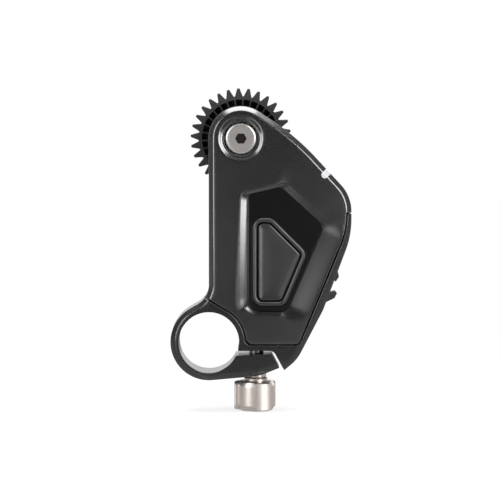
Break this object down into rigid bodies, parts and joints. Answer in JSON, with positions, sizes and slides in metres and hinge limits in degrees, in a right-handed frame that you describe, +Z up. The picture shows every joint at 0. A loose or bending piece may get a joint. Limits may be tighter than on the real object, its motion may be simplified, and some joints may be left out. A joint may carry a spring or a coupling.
{
  "type": "follow focus unit",
  "caption": "Slim motor-driven follow focus unit: toothed lens gear behind a rounded housing, inset panel with a large push button, split rod clamp with thumbscrew.",
  "frame": {"origin": "axis of the 15 mm rod bore, in the middle of the clamp's length", "axes": "+Y along the rod away from the button side, +Z up the housing towards the lens gear, +X to the right seen from the button side"},
  "size_m": [0.0452, 0.0244, 0.081],
  "materials": {
    "anodised_black": "satin",
    "shell_black": "satin",
    "screw_black": "satin",
    "panel_black": "gloss",
    "bezel_black": "satin",
    "key_black": "satin",
    "switch_grey": "matt",
    "plunger_dark": "matt",
    "light_white": "frosted",
    "board_green": "satin",
    "screw_steel": "satin",
    "port_metal": "satin",
    "tongue_black": "matt",
    "clip_black": "satin",
    "plate_metal": "satin",
    "pin_steel": "polished",
    "gear_steel": "satin",
    "gear_brass": "satin",
    "armature_iron": "satin",
    "magnet_grey": "matt",
    "can_steel": "satin",
    "bearing_steel": "polished",
    "cap_steel": "brushed",
    "gear_black": "satin",
    "knob_nickel": "satin",
    "washer_nickel": "satin"
  },
  "bodies": {
    "housing": {"chassis": "anodised_black", "front_cover": "shell_black", "rear_cover": "shell_black", "case_screws": "screw_black", "button_panel": "panel_black", "button_bezel": "bezel_black", "button_switch": "switch_grey", "status_light": "light_white", "circuit_board": "board_green", "board_screws": "screw_steel", "port_shell": "port_metal", "port_tongue": "tongue_black", "cable_clip": "clip_black", "gear_plate": "plate_metal", "plate_screws": "screw_steel", "idler_pins": "pin_steel", "motor_can": "can_steel", "motor_magnet": "magnet_grey", "motor_end_cap": "tongue_black", "motor_screws": "screw_steel", "bearing_outer_rings": "bearing_steel"},
    "output": {"lens_gear": "gear_black", "output_shaft": "pin_steel", "shaft_cap": "cap_steel", "output_gear": "gear_steel", "bearing_inner_rings": "bearing_steel", "gear_screw": "screw_black"},
    "balls": {"bearing_balls": "bearing_steel"},
    "second_idler": {"idler_wheel_2": "gear_steel"},
    "first_idler": {"idler_wheel_1": "gear_steel"},
    "rotor": {"motor_shaft": "pin_steel", "motor_pinion": "gear_brass", "motor_armature": "armature_iron"},
    "button": {"button_cap": "key_black", "switch_plunger": "plunger_dark"},
    "washer": {"clamp_washer": "washer_nickel"},
    "thumbscrew": {"clamp_knob": "knob_nickel", "clamp_stud": "pin_steel"}
  },
  "joints": [
    {"name": "output_spin", "type": "hinge", "parent": "housing", "child": "output", "pos_m": [0.008, 0, 0.0507], "axis": [0, 1, 0], "continuous": true},
    {"name": "ball_spin", "type": "hinge", "parent": "housing", "child": "balls", "pos_m": [0.008, 0, 0.0507], "axis": [0, 1, 0], "continuous": true},
    {"name": "second_idler_spin", "type": "hinge", "parent": "housing", "child": "second_idler", "pos_m": [0.0096, 0, 0.04164], "axis": [0, 1, 0], "continuous": true},
    {"name": "first_idler_spin", "type": "hinge", "parent": "housing", "child": "first_idler", "pos_m": [0.01542, 0, 0.03558], "axis": [0, 1, 0], "continuous": true},
    {"name": "rotor_spin", "type": "hinge", "parent": "housing", "child": "rotor", "pos_m": [0.016, 0.01, 0.0264], "axis": [0, 1, 0], "continuous": true},
    {"name": "button_press", "type": "slide", "parent": "housing", "child": "button", "axis": [0, 1, 0], "range_m": [0, 0.0004], "stiffness_N_per_m": 1500},
    {"name": "washer_slide", "type": "slide", "parent": "housing", "child": "washer", "axis": [0, 0, -1], "range_m": [0, 0.0021]},
    {"name": "clamp_turn", "type": "hinge", "parent": "washer", "child": "thumbscrew", "pos_m": [0.0118, 0, -0.012], "axis": [0, 0, -1], "range_deg": [0, 1110]}
  ],
  "couplings": [
    {"joint": "ball_spin", "follows": "output_spin", "ratio": 0.40667},
    {"joint": "second_idler_spin", "follows": "output_spin", "ratio": -1.7059},
    {"joint": "first_idler_spin", "follows": "output_spin", "ratio": 4.2647},
    {"joint": "rotor_spin", "follows": "output_spin", "ratio": -15.353},
    {"joint": "clamp_turn", "follows": "washer_slide", "rad_per_m": 8976}
  ]
}
